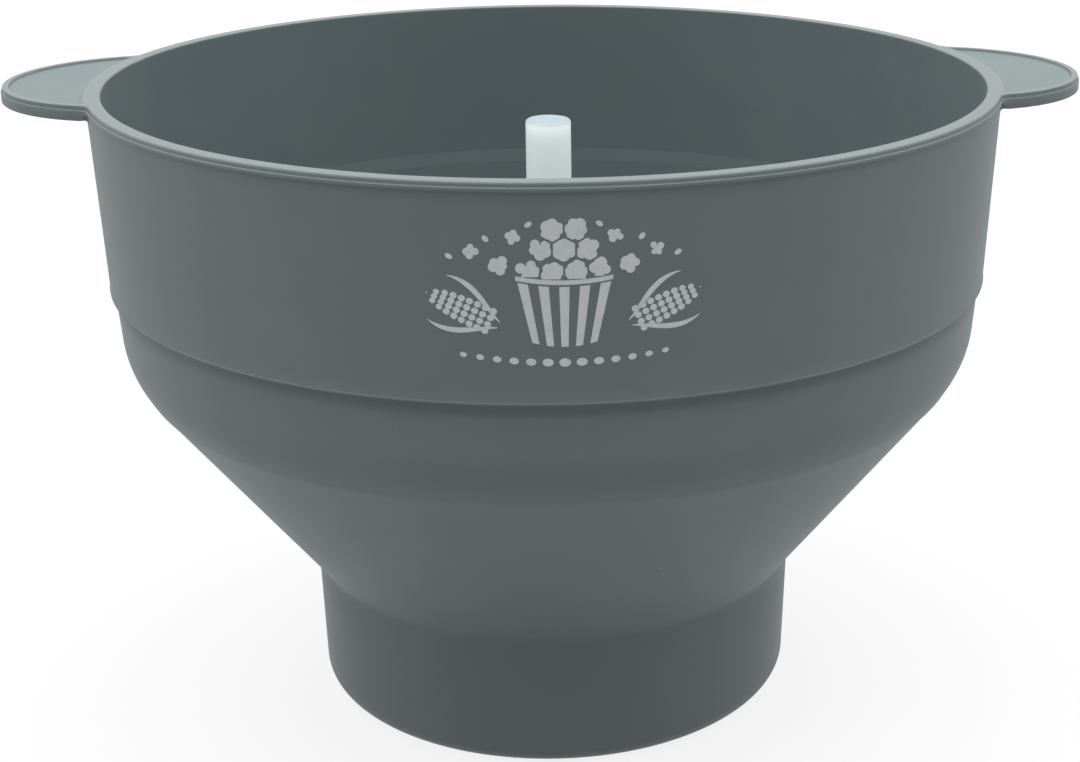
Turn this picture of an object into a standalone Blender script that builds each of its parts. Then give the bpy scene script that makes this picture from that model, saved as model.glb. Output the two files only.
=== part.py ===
"""Collapsible silicone popcorn bowl with two tab handles and a centre post that lifts out.

The bowl stands on z = 0 with its axis on Z, and the handles lie along X. From the top down it
has a stiff upper band, a thin web that turns inside out when the bowl is pressed flat, a stiff
cone and a base cup. The zones of the one moulding are separate solids, each with its own job.
"""

import math

import bmesh
import bpy
from mathutils import Vector

MM = 0.001

# Fits
SEAM = 0.3 * MM
POST_CLEARANCE = 0.3 * MM

# Overall height and the upper band
BOWL_HEIGHT = 150.7 * MM
RIM_RADIUS = 105.0 * MM
RIM_TOP_WIDTH = 3.4 * MM
RIM_DEPTH = 3.4 * MM
RIM_OUTER_ROUND = 0.7 * MM
RIM_INNER_ROUND = 0.4 * MM
LEDGE_DROP = 1.0 * MM
LEDGE_THICKNESS = 0.8 * MM
LEDGE_PROUD = 0.35 * MM

# Lip at the foot of the upper band
LIP_HEIGHT = 106.2 * MM
BAND_TAPER = 1.9 * MM
LIP_RADIUS = RIM_RADIUS - BAND_TAPER
LIP_DEPTH = 5.0 * MM
LIP_ROUND = 0.4 * MM

# Thin web between the lip and the crease, flush with the band inside
UNDERCUT = 0.9 * MM
WEB_RADIUS = LIP_RADIUS - UNDERCUT
WEB_WALL = 1.6 * MM
LIP_WALL = UNDERCUT + WEB_WALL
WEB_TAPER = 1.3 * MM
SHOULDER_RADIUS = WEB_RADIUS - WEB_TAPER
SHOULDER_HEIGHT = 88.0 * MM
SHOULDER_ROUND = 23.0 * MM
CREASE_HEIGHT = 62.0 * MM
CREASE_WIDTH = 5.0 * MM
CREASE_WALL = 3.2 * MM
CREASE_LAND_START = 2.0 * MM
CREASE_LAND_END = 3.5 * MM

# Stiff cone and base cup
CONE_WALL = 2.6 * MM
BASE_TOP_RADIUS = 59.0 * MM
BASE_TOP_HEIGHT = 33.5 * MM
BASE_TAPER = 0.8 * MM
BASE_RADIUS = BASE_TOP_RADIUS - BASE_TAPER
BASE_ROUND = 5.3 * MM
BASE_WALL = 2.8 * MM
BASE_INNER_ROUND = 4.0 * MM
FLOOR_THICKNESS = 2.6 * MM
FOOT_WIDTH = 3.9 * MM
FOOT_INNER_RADIUS = BASE_RADIUS - BASE_ROUND - FOOT_WIDTH
FOOT_DEPTH = 1.0 * MM

# Handles
TAB_SET = 11.1 * MM
TAB_CENTRE = RIM_RADIUS - TAB_SET
TAB_RADIUS = 31.5 * MM
TAB_ROOT_ROUND = 3.0 * MM
TAB_THICKNESS = 3.4 * MM
TAB_EDGE_ROUND = 0.5 * MM
BEAD_WIDTH = 1.6 * MM
BEAD_HEIGHT = 0.5 * MM

# Centre post and its collar
POST_RADIUS = 5.35 * MM
POST_DRAFT = 0.15 * MM
POST_TOP_HEIGHT = 140.0 * MM
POST_TOP_ROUND = 1.0 * MM
POST_FOOT_CHAMFER = 0.8 * MM
POST_DISH_RADIUS = 3.4 * MM
POST_DISH_FLOOR_RADIUS = 1.7 * MM
POST_DISH_DEPTH = 0.3 * MM
POST_DISH_CROWN = 0.06 * MM
COLLAR_HEIGHT = 8.0 * MM
COLLAR_WALL = 3.0 * MM
COLLAR_TAPER = 0.6 * MM
COLLAR_ROUND = 0.8 * MM

# Facets and shading
SHARP_ANGLE = math.radians(32)
BOWL_STEPS = 72
POST_STEPS = 36
FINE_ARC = 4
FOOT_ARC = 7
SHOULDER_ARC = 8
TIP_ARC = 30
ROOT_ARC = 6
RIM_ARC = 14
OVERLAP = 0.4 * MM

# Finishes, as linear red, green, blue and roughness
SILICONE = (0.118, 0.142, 0.150, 0.62)
SILICONE_TOP = (0.150, 0.175, 0.182, 0.62)
POST_WHITE = (0.68, 0.75, 0.77, 0.38)


def clear_scene():
    for obj in list(bpy.data.objects):
        bpy.data.objects.remove(obj, do_unlink=True)


def new_collection(name, hidden=False):
    collection = bpy.data.collections.new(name)
    collection.hide_render = hidden
    bpy.context.scene.collection.children.link(collection)
    return collection


def finish(name, values):
    material = bpy.data.materials.new(name)
    material.use_nodes = True
    shader = material.node_tree.nodes["Principled BSDF"]
    shader.inputs["Base Color"].default_value = (*values[:3], 1.0)
    shader.inputs["Roughness"].default_value = values[3]
    shader.inputs["Metallic"].default_value = 0.0
    material.diffuse_color = (*values[:3], 1.0)
    return material


def add_object(name, mesh, collection, values):
    mesh.materials.append(finish(name + "_finish", values))
    obj = bpy.data.objects.new(name, mesh)
    collection.objects.link(obj)
    return obj


def arc(centre, radius, start_deg, end_deg, count):
    """Points on an arc, both ends included."""
    points = []
    for i in range(count + 1):
        angle = math.radians(start_deg + (end_deg - start_deg) * i / count)
        points.append(Vector((centre[0] + radius * math.cos(angle), centre[1] + radius * math.sin(angle))))
    return points


def rounded_corner(before, corner, after, radius, count):
    """Points of the arc of this radius that takes the place of a corner."""
    to_before = (before - corner).normalized()
    to_after = (after - corner).normalized()
    half = to_before.angle(to_after) / 2
    centre = corner + (to_before + to_after).normalized() * (radius / math.sin(half))
    reach = radius / math.tan(half)
    first = corner + to_before * reach - centre
    last = corner + to_after * reach - centre
    turn = first.angle_signed(last)
    points = []
    for i in range(count + 1):
        angle = -turn * i / count
        cosine = math.cos(angle)
        sine = math.sin(angle)
        points.append(centre + Vector((first.x * cosine - first.y * sine, first.x * sine + first.y * cosine)))
    return points


def blend_radius(low, high, height):
    """Radius at a height on the straight line between two (radius, height) points."""
    share = (height - low.y) / (high.y - low.y)
    return low.x + (high.x - low.x) * share


def turned(name, profile, collection, values, steps=BOWL_STEPS, closed=True):
    """A solid of revolution about Z, shaded smooth. The profile runs down its outer side."""
    mesh = bpy.data.meshes.new(name)
    points = [(p[0], 0.0, p[1]) for p in profile]
    edges = [(i, i + 1) for i in range(len(points) - 1)]
    if closed:
        edges.append((len(points) - 1, 0))
    mesh.from_pydata(points, edges, [])
    obj = add_object(name, mesh, collection, values)
    screw = obj.modifiers.new("Turn", "SCREW")
    screw.axis = "Z"
    screw.angle = 2 * math.pi
    screw.steps = steps
    screw.render_steps = steps
    screw.use_merge_vertices = True
    screw.merge_threshold = 0.00002
    apply_and_smooth(obj)
    return obj


def apply_and_smooth(obj):
    """Applies the object's modifiers and shades it smooth, with the sharp corners kept crisp."""
    graph = bpy.context.evaluated_depsgraph_get()
    mesh = bpy.data.meshes.new_from_object(obj.evaluated_get(graph))
    mesh.shade_smooth()
    mesh.set_sharp_from_angle(angle=SHARP_ANGLE)
    first_mesh = obj.data
    obj.modifiers.clear()
    obj.data = mesh
    bpy.data.meshes.remove(first_mesh)
    mesh.name = obj.name


# Lines that neighbouring zones share
RIM_BOTTOM = BOWL_HEIGHT - RIM_DEPTH
LIP_TOP = LIP_HEIGHT + LIP_DEPTH
FLOOR_TOP = FOOT_DEPTH + FLOOR_THICKNESS
BAND_OUTER = (Vector((LIP_RADIUS, LIP_HEIGHT)), Vector((RIM_RADIUS, BOWL_HEIGHT)))
BAND_INNER = (
    Vector((LIP_RADIUS - LIP_WALL, LIP_HEIGHT)),
    Vector((RIM_RADIUS - RIM_TOP_WIDTH, BOWL_HEIGHT)),
)
SHOULDER = Vector((SHOULDER_RADIUS, SHOULDER_HEIGHT))
CONE_FOOT = Vector((BASE_TOP_RADIUS, BASE_TOP_HEIGHT))
CONE_DOWN = (CONE_FOOT - SHOULDER).normalized()
CONE_INWARD = Vector((CONE_DOWN.y, -CONE_DOWN.x))


def band_outer(height):
    return Vector((blend_radius(*BAND_OUTER, height), height))


def band_inner(height):
    return Vector((blend_radius(*BAND_INNER, height), height))


def on_cone(distance, depth):
    """A point this far down the cone from the shoulder, and this deep inside its outer face."""
    return SHOULDER + CONE_DOWN * distance + CONE_INWARD * depth


def cone_distance(height, depth):
    """How far down the cone the point at this height and depth is."""
    return (SHOULDER.y + CONE_INWARD.y * depth - height) / -CONE_DOWN.y


def rim_profile():
    inner = RIM_RADIUS - RIM_TOP_WIDTH
    ledge_top = BOWL_HEIGHT - LEDGE_DROP
    ledge_bottom = ledge_top - LEDGE_THICKNESS
    proud = RIM_RADIUS + LEDGE_PROUD
    inner_centre = (inner + RIM_INNER_ROUND, BOWL_HEIGHT - RIM_INNER_ROUND)
    outer_centre = (RIM_RADIUS - RIM_OUTER_ROUND, BOWL_HEIGHT - RIM_OUTER_ROUND)
    profile = arc(inner_centre, RIM_INNER_ROUND, 180, 90, FINE_ARC)
    profile += arc(outer_centre, RIM_OUTER_ROUND, 90, 0, FINE_ARC)
    profile += [
        Vector((RIM_RADIUS, ledge_top)),
        Vector((proud, ledge_top - LEDGE_PROUD / 2)),
        Vector((proud, ledge_bottom)),
        band_outer(ledge_bottom - LEDGE_PROUD / 2),
        band_outer(RIM_BOTTOM),
        band_inner(RIM_BOTTOM),
    ]
    return profile


def upper_wall_profile():
    top = RIM_BOTTOM - SEAM
    bottom = LIP_TOP + SEAM
    return [band_inner(top), band_outer(top), band_outer(bottom), band_inner(bottom)]


def lip_profile():
    underside = Vector((WEB_RADIUS, LIP_HEIGHT))
    edge_round = min(LIP_ROUND, UNDERCUT / 2)
    profile = [band_inner(LIP_TOP), band_outer(LIP_TOP)]
    profile += rounded_corner(
        band_outer(LIP_TOP), band_outer(LIP_HEIGHT), underside, edge_round, FINE_ARC
    )
    profile += [underside, band_inner(LIP_HEIGHT)]
    return profile


def height_on_cone(radius, depth):
    """Height at which the face this deep inside the cone has this radius."""
    distance = (radius - SHOULDER.x - CONE_INWARD.x * depth) / CONE_DOWN.x
    return on_cone(distance, depth).y


def web_profile():
    top = Vector((WEB_RADIUS, LIP_HEIGHT - SEAM))
    end = cone_distance(CREASE_HEIGHT, 0) - SEAM / 2
    inner_shoulder_round = SHOULDER_ROUND - WEB_WALL
    inner_top = Vector((WEB_RADIUS - WEB_WALL, top.y))
    inner_shoulder_radius = SHOULDER_RADIUS - WEB_WALL
    inner_shoulder = Vector((inner_shoulder_radius, height_on_cone(inner_shoulder_radius, WEB_WALL)))
    outer = [top]
    outer += rounded_corner(top, SHOULDER, on_cone(end, 0), SHOULDER_ROUND, SHOULDER_ARC)
    outer.append(on_cone(end, 0))
    inner = [inner_top]
    inner += rounded_corner(
        inner_top, inner_shoulder, on_cone(end, WEB_WALL), inner_shoulder_round, SHOULDER_ARC
    )
    inner.append(on_cone(end, WEB_WALL))
    return outer + inner[::-1]


def crease_profile():
    start = cone_distance(CREASE_HEIGHT, 0) + SEAM / 2
    end = start + CREASE_WIDTH
    return [
        on_cone(start, WEB_WALL),
        on_cone(start, 0),
        on_cone(end, 0),
        on_cone(end, CONE_WALL),
        on_cone(start + CREASE_LAND_END, CREASE_WALL),
        on_cone(start + CREASE_LAND_START, CREASE_WALL),
    ]


def cone_profile():
    crease_start = cone_distance(CREASE_HEIGHT, 0) + SEAM / 2
    start = crease_start + CREASE_WIDTH + SEAM
    foot = BASE_TOP_HEIGHT + SEAM
    return [
        on_cone(start, CONE_WALL),
        on_cone(start, 0),
        on_cone(cone_distance(foot, 0), 0),
        on_cone(cone_distance(foot, CONE_WALL), CONE_WALL),
    ]


def base_wall_profile():
    inner_top = on_cone(cone_distance(BASE_TOP_HEIGHT, CONE_WALL), CONE_WALL)
    inner_radius = BASE_RADIUS - BASE_WALL
    round_centre = (BASE_RADIUS - BASE_ROUND, BASE_ROUND)
    inner_centre = (inner_radius - BASE_INNER_ROUND, FLOOR_TOP + BASE_INNER_ROUND)
    profile = [inner_top, CONE_FOOT]
    profile += arc(round_centre, BASE_ROUND, 0, -90, FOOT_ARC)
    profile += [Vector((FOOT_INNER_RADIUS, 0.0)), Vector((FOOT_INNER_RADIUS, FLOOR_TOP))]
    profile += arc(inner_centre, BASE_INNER_ROUND, -90, 0, FINE_ARC)
    return profile


def floor_profile():
    edge = FOOT_INNER_RADIUS - SEAM
    return [
        Vector((0.0, FLOOR_TOP)),
        Vector((edge, FLOOR_TOP)),
        Vector((edge, FOOT_DEPTH)),
        Vector((0.0, FOOT_DEPTH)),
    ]


def collar_profile():
    bore = POST_RADIUS + POST_DRAFT + POST_CLEARANCE
    outer = bore + COLLAR_WALL
    bottom = FLOOR_TOP + SEAM
    top = bottom + COLLAR_HEIGHT
    upper_outer = outer - COLLAR_TAPER
    round_centre = (upper_outer - COLLAR_ROUND, top - COLLAR_ROUND)
    profile = [Vector((bore, top))]
    profile += arc(round_centre, COLLAR_ROUND, 90, 0, FINE_ARC)
    profile += [Vector((outer, bottom)), Vector((bore, bottom))]
    return profile


def post_profile():
    foot = FLOOR_TOP + SEAM
    round_centre = (POST_RADIUS - POST_TOP_ROUND, POST_TOP_HEIGHT - POST_TOP_ROUND)
    dish_floor = POST_TOP_HEIGHT - POST_DISH_DEPTH
    foot_radius = POST_RADIUS + POST_DRAFT
    profile = [
        Vector((0.0, dish_floor)),
        Vector((POST_DISH_FLOOR_RADIUS, dish_floor + POST_DISH_CROWN)),
        Vector((POST_DISH_RADIUS, POST_TOP_HEIGHT)),
    ]
    profile += arc(round_centre, POST_TOP_ROUND, 90, 0, FINE_ARC)
    profile += [
        Vector((foot_radius, foot + POST_FOOT_CHAMFER)),
        Vector((foot_radius - POST_FOOT_CHAMFER / 2, foot)),
        Vector((0.0, foot)),
    ]
    return profile


def tab_outline(inset):
    """Outline of a handle on the +X side: tip arc, concave roots and the arc that meets the rim.

    The inset draws in the outer edge. The edge beside the rim stays.
    """
    rim = RIM_RADIUS + LEDGE_PROUD + SEAM
    tip = TAB_RADIUS - inset
    root = TAB_ROOT_ROUND + inset
    reach = rim + TAB_ROOT_ROUND
    root_x = (reach**2 + TAB_CENTRE**2 - (tip + root) ** 2) / (2 * TAB_CENTRE)
    root_y = math.sqrt(reach**2 - root_x**2)
    to_tip = math.degrees(math.atan2(-root_y, TAB_CENTRE - root_x)) + 360
    at_rim = root_meets_rim(root_x, root_y, root, rim)
    to_rim = math.degrees(math.atan2(at_rim.y - root_y, at_rim.x - root_x)) % 360
    tip_start = math.degrees(math.atan2(root_y, root_x - TAB_CENTRE))
    outline = arc((TAB_CENTRE, 0.0), tip, -tip_start, tip_start, TIP_ARC)
    upper_root = arc((root_x, root_y), root, to_tip, to_rim, ROOT_ARC)
    outline += upper_root[1:]
    rim_end = math.degrees(math.atan2(at_rim.y, at_rim.x))
    outline += arc((0.0, 0.0), rim, rim_end, -rim_end, RIM_ARC)[1:-1]
    outline += [Vector((p.x, -p.y)) for p in upper_root[:0:-1]]
    return outline


def root_meets_rim(root_x, root_y, root, rim):
    """Where a root's arc ends: just short of the point at which it would thin out to nothing."""
    thin = rim + OVERLAP
    distance = math.hypot(root_x, root_y)
    along = (distance**2 + thin**2 - root**2) / (2 * distance)
    aside = math.sqrt(max(thin**2 - along**2, 0.0))
    axis = Vector((root_x, root_y)) / distance
    return axis * along + Vector((axis.y, -axis.x)) * aside


def prism(name, outline, bottom, top, turn, collection, values):
    """A flat outline given thickness, as a mesh that can be cut and joined."""
    curve = bpy.data.curves.new(name + "_outline", "CURVE")
    curve.dimensions = "2D"
    curve.fill_mode = "BOTH"
    curve.extrude = (top - bottom) / 2
    spline = curve.splines.new("POLY")
    spline.points.add(len(outline) - 1)
    for point, place in zip(spline.points, outline):
        point.co = (place.x, place.y, 0.0, 1.0)
    spline.use_cyclic_u = True
    guide = bpy.data.objects.new(name + "_guide", curve)
    collection.objects.link(guide)
    graph = bpy.context.evaluated_depsgraph_get()
    mesh = bpy.data.meshes.new_from_object(guide.evaluated_get(graph))
    bpy.data.objects.remove(guide, do_unlink=True)
    work = bmesh.new()
    work.from_mesh(mesh)
    bmesh.ops.remove_doubles(work, verts=work.verts, dist=0.000001)
    bmesh.ops.recalc_face_normals(work, faces=work.faces)
    work.to_mesh(mesh)
    work.free()
    mesh.name = name
    obj = add_object(name, mesh, collection, values)
    obj.location.z = (top + bottom) / 2
    obj.rotation_euler.z = turn
    return obj


def round_outer_edges(obj):
    """Rounds the long edges of a tab, apart from those beside the rim."""
    rim = RIM_RADIUS + LEDGE_PROUD + SEAM
    work = bmesh.new()
    work.from_mesh(obj.data)
    weight = work.edges.layers.float.new("bevel_weight_edge")
    for edge in work.edges:
        ends = [vertex.co for vertex in edge.verts]
        level = abs(ends[0].z - ends[1].z) < 0.000001
        beside_rim = all(math.hypot(end.x, end.y) < rim + OVERLAP / 4 for end in ends)
        if level and not beside_rim and edge.calc_face_angle(0.0) > 1.0:
            edge[weight] = 1.0
    work.to_mesh(obj.data)
    work.free()
    bevel = obj.modifiers.new("Round", "BEVEL")
    bevel.limit_method = "WEIGHT"
    bevel.width = TAB_EDGE_ROUND
    bevel.segments = 2


def boolean(obj, other, operation):
    other.hide_render = True
    other.display_type = "WIRE"
    step = obj.modifiers.new(operation.title(), "BOOLEAN")
    step.object = other
    step.operation = operation
    step.solver = "EXACT"


def handle(name, turn, parts, cutters):
    """A crescent tab in two tiers, with a shallow recess that leaves a bead round its edge."""
    bottom = BOWL_HEIGHT - TAB_THICKNESS
    step = BOWL_HEIGHT - LEDGE_DROP
    tab = prism(name, tab_outline(0.0), bottom, step, turn, parts, SILICONE_TOP)
    crown = prism(
        name + "_crown", tab_outline(LEDGE_PROUD), step - OVERLAP, BOWL_HEIGHT, turn, cutters, SILICONE_TOP
    )
    round_outer_edges(crown)
    boolean(tab, crown, "UNION")
    bpy.ops.mesh.primitive_cylinder_add(
        vertices=2 * TIP_ARC, radius=TAB_RADIUS - BEAD_WIDTH, depth=2 * BEAD_HEIGHT
    )
    recess = bpy.context.object
    recess.name = name + "_recess"
    move_to(recess, cutters)
    recess.location = (TAB_CENTRE * math.cos(turn), TAB_CENTRE * math.sin(turn), BOWL_HEIGHT)
    recess.rotation_euler.z = turn
    boolean(tab, recess, "DIFFERENCE")
    apply_and_smooth(tab)
    return tab


def move_to(obj, collection):
    for old in list(obj.users_collection):
        old.objects.unlink(obj)
    collection.objects.link(obj)


def carrier(name, height, collection):
    """An empty on the bowl's axis. What slides together is parented to it."""
    empty = bpy.data.objects.new(name, None)
    empty.location = (0.0, 0.0, height)
    collection.objects.link(empty)
    return empty


def parent_in_place(children, parent):
    bpy.context.view_layer.update()
    for child in children:
        place = child.matrix_world.copy()
        child.parent = parent
        child.matrix_parent_inverse = parent.matrix_world.inverted()
        child.matrix_world = place


def build():
    clear_scene()
    parts = new_collection("popcorn_popper")
    cutters = new_collection("cutters", hidden=True)
    rim = turned("rim_ring", rim_profile(), parts, SILICONE_TOP)
    upper_wall = turned("upper_wall", upper_wall_profile(), parts, SILICONE)
    lip = turned("fold_lip", lip_profile(), parts, SILICONE)
    turned("fold_web", web_profile(), parts, SILICONE)
    turned("crease_ring", crease_profile(), parts, SILICONE)
    turned("cone_wall", cone_profile(), parts, SILICONE)
    turned("base_wall", base_wall_profile(), parts, SILICONE)
    turned("base_floor", floor_profile(), parts, SILICONE, closed=False)
    turned("post_collar", collar_profile(), parts, SILICONE, steps=POST_STEPS)
    post = turned("centre_post", post_profile(), parts, POST_WHITE, steps=POST_STEPS, closed=False)
    right = handle("right_handle", 0.0, parts, cutters)
    left = handle("left_handle", math.pi, parts, cutters)
    upper_carrier = carrier("upper_band_carrier", LIP_HEIGHT, parts)
    parent_in_place([rim, upper_wall, lip, right, left], upper_carrier)
    post_carrier = carrier("post_carrier", FLOOR_TOP, parts)
    parent_in_place([post], post_carrier)
    bpy.context.view_layer.update()


build()
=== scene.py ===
"""The looks of a collapsible silicone popcorn popper: a moulded bowl, its print and its centre post.

The bowl stands on z = 0 with its axis on Z and its handles along X. Lengths are in metres, angles
in radians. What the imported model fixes, such as the rim, the lip and the base, is read from it.
"""

import logging
import math
import random
from dataclasses import dataclass, field
from enum import Enum
from typing import NamedTuple, Sequence

import bmesh
import bpy
from mathutils import Matrix, Vector


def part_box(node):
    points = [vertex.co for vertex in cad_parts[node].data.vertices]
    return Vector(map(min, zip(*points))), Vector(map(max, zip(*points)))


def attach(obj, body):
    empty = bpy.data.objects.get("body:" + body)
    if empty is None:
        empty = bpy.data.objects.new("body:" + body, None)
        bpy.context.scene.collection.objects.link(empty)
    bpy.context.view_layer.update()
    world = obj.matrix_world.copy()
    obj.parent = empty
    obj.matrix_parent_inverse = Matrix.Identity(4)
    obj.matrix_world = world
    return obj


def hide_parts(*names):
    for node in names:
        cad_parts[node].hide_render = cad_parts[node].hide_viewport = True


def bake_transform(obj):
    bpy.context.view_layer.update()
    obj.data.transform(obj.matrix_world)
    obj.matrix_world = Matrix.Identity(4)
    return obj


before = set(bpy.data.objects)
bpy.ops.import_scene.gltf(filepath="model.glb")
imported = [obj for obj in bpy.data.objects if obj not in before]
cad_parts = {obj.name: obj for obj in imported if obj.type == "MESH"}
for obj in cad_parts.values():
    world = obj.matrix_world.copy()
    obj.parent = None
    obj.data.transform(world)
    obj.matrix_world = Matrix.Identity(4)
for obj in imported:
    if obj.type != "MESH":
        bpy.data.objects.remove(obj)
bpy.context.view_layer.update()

MM = 0.001
HALF_TURN = math.pi
FULL_TURN = 2 * math.pi

log = logging.getLogger("popcorn_popper")


class Body(Enum):
    """The rigid bodies that pieces ride on."""

    BASE = "base"
    UPPER = "upper"
    POST = "post"


class Slot(Enum):
    """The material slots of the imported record."""

    SILICONE = "silicone"
    POST_WHITE = "post_white"


class Mixing(Enum):
    """Ways in which two colours are laid over each other."""

    OVER = "MIX"
    MULTIPLY = "MULTIPLY"


class Point(NamedTuple):
    """A point of a profile: its distance from the axis and its height."""

    r: float
    z: float


Colour = tuple[float, float, float]
Spot = tuple[float, float]
Outline = list[Spot]


def smooth_step(value: float) -> float:
    """Return 0 below 0, 1 above 1 and a smooth rise between."""
    share = min(max(value, 0.0), 1.0)
    return share * share * (3 - 2 * share)


def between(low: float, high: float, share: float) -> float:
    """Return the value at this share of the way from low to high."""
    return low + (high - low) * share


def arc(centre: Point, radius: float, start: float, end: float, count: int) -> list[Point]:
    """Lay points on an arc, both ends included.

    Args:
        centre: Centre of the arc.
        radius: Its radius.
        start: Angle of the first point, in degrees from the outward direction.
        end: Angle of the last point, in degrees.
        count: How many steps the arc has.

    Returns:
        The points in order.
    """
    points = []
    for i in range(count + 1):
        angle = math.radians(between(start, end, i / count))
        points.append(Point(centre.r + radius * math.cos(angle), centre.z + radius * math.sin(angle)))
    return points


def straight(start: Point, end: Point, count: int) -> list[Point]:
    """Lay points on a straight line, without its two ends.

    Args:
        start: Where the line starts.
        end: Where it ends.
        count: How many points lie between.

    Returns:
        The points in order.
    """
    shares = [(i + 1) / (count + 1) for i in range(count)]
    return [Point(between(start.r, end.r, s), between(start.z, end.z, s)) for s in shares]


def rounded(before: Point, corner: Point, after: Point, radius: float, count: int) -> list[Point]:
    """Round a corner of a profile.

    Args:
        before: A point on the line that comes in.
        corner: The sharp corner.
        after: A point on the line that goes out.
        radius: Radius of the arc that takes the corner's place.
        count: How many steps the arc has.

    Returns:
        The arc's points, from the incoming line to the outgoing one.
    """
    spot = Vector(corner)
    inward = (Vector(before) - spot).normalized()
    outward = (Vector(after) - spot).normalized()
    half = inward.angle(outward) / 2
    centre = spot + (inward + outward).normalized() * (radius / math.sin(half))
    reach = radius / math.tan(half)
    first = spot + inward * reach - centre
    last = spot + outward * reach - centre
    turn = first.angle_signed(last)
    points = []
    for i in range(count + 1):
        turned = Matrix.Rotation(-turn * i / count, 2) @ first
        points.append(Point(*(centre + turned)))
    return points


def on_line(low: Point, high: Point, height: float) -> Point:
    """Return the point at this height on the line through two points."""
    share = (height - low.z) / (high.z - low.z)
    return Point(between(low.r, high.r, share), height)


def shaded_mesh(name: str, vertices: Sequence[Vector], faces: Sequence[Sequence[int]]) -> bpy.types.Mesh:
    """Make a smooth-shaded mesh whose real corners stay crisp.

    Args:
        name: Name of the mesh.
        vertices: Its points.
        faces: Its faces as lists of point numbers.

    Returns:
        The mesh, with its faces pointing out.
    """
    crisp_angle = math.radians(40)
    mesh = bpy.data.meshes.new(name)
    mesh.from_pydata(vertices, [], faces)
    work = bmesh.new()
    work.from_mesh(mesh)
    bmesh.ops.remove_doubles(work, verts=work.verts, dist=0.0005 * MM)
    bmesh.ops.recalc_face_normals(work, faces=work.faces)
    work.to_mesh(mesh)
    work.free()
    mesh.shade_smooth()
    mesh.set_sharp_from_angle(angle=crisp_angle)
    return mesh


def add_piece(name: str, mesh: bpy.types.Mesh, material: bpy.types.Material) -> bpy.types.Object:
    """Put a mesh into the scene as a named piece.

    Args:
        name: Name of the piece.
        mesh: Its mesh.
        material: Its finish.

    Returns:
        The piece.
    """
    mesh.materials.append(material)
    piece = bpy.data.objects.new(name, mesh)
    bpy.context.scene.collection.objects.link(piece)
    return piece


def turned_mesh(name: str, profile: Sequence[Point], steps: int) -> bpy.types.Mesh:
    """Turn a profile about the axis.

    Args:
        name: Name of the mesh.
        profile: A closed outline, or an open one whose two ends lie on the axis.
        steps: How many steps make the full turn.

    Returns:
        The closed mesh.
    """
    vertices = []
    faces = []
    count = len(profile)
    axis_points: dict[int, int] = {}
    for i, point in enumerate(profile):
        if point.r <= 0.0:
            axis_points[i] = len(vertices)
            vertices.append(Vector((0.0, 0.0, point.z)))
    rings: dict[int, int] = {}
    for i, point in enumerate(profile):
        if i in axis_points:
            continue
        rings[i] = len(vertices)
        for k in range(steps):
            angle = FULL_TURN * k / steps
            vertices.append(Vector((point.r * math.cos(angle), point.r * math.sin(angle), point.z)))
    for i in range(count):
        j = (i + 1) % count
        for k in range(steps):
            m = (k + 1) % steps
            if i in axis_points and j in axis_points:
                continue
            if i in axis_points:
                faces.append((axis_points[i], rings[j] + k, rings[j] + m))
            elif j in axis_points:
                faces.append((rings[i] + m, rings[i] + k, axis_points[j]))
            else:
                faces.append((rings[i] + k, rings[j] + k, rings[j] + m, rings[i] + m))
    return shaded_mesh(name, vertices, faces)


class Socket:
    """A node's output with arithmetic: an expression on it adds Math nodes."""

    def __init__(self, board: "Board", output: bpy.types.NodeSocket) -> None:
        """Keep the board that the node stands on and the node's output."""
        self.board = board
        self.output = output

    def _math(self, operation: str, first: "Socket | float", second: "Socket | float") -> "Socket":
        """Add one Math node of this operation on two values."""
        return self.board.add("ShaderNodeMath", {"operation": operation}, {0: first, 1: second})

    def __add__(self, other: "Socket | float") -> "Socket":
        """Return self + other."""
        return self._math("ADD", self, other)

    def __radd__(self, other: float) -> "Socket":
        """Return other + self."""
        return self._math("ADD", other, self)

    def __sub__(self, other: "Socket | float") -> "Socket":
        """Return self - other."""
        return self._math("SUBTRACT", self, other)

    def __rsub__(self, other: float) -> "Socket":
        """Return other - self."""
        return self._math("SUBTRACT", other, self)

    def __mul__(self, other: "Socket | float") -> "Socket":
        """Return self * other."""
        return self._math("MULTIPLY", self, other)

    def __rmul__(self, other: float) -> "Socket":
        """Return other * self."""
        return self._math("MULTIPLY", other, self)


@dataclass(frozen=True)
class Clouds:
    """A soft random pattern: its patch size and detail, and where and how much its tone shows."""

    size: float
    detail: float
    low: float
    high: float
    share: float = 1.0


@dataclass(frozen=True)
class Marks:
    """Small round marks: the spacing of their cells, their largest radius and how much they show."""

    spacing: float
    radius: float
    share: float = 1.0


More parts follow.
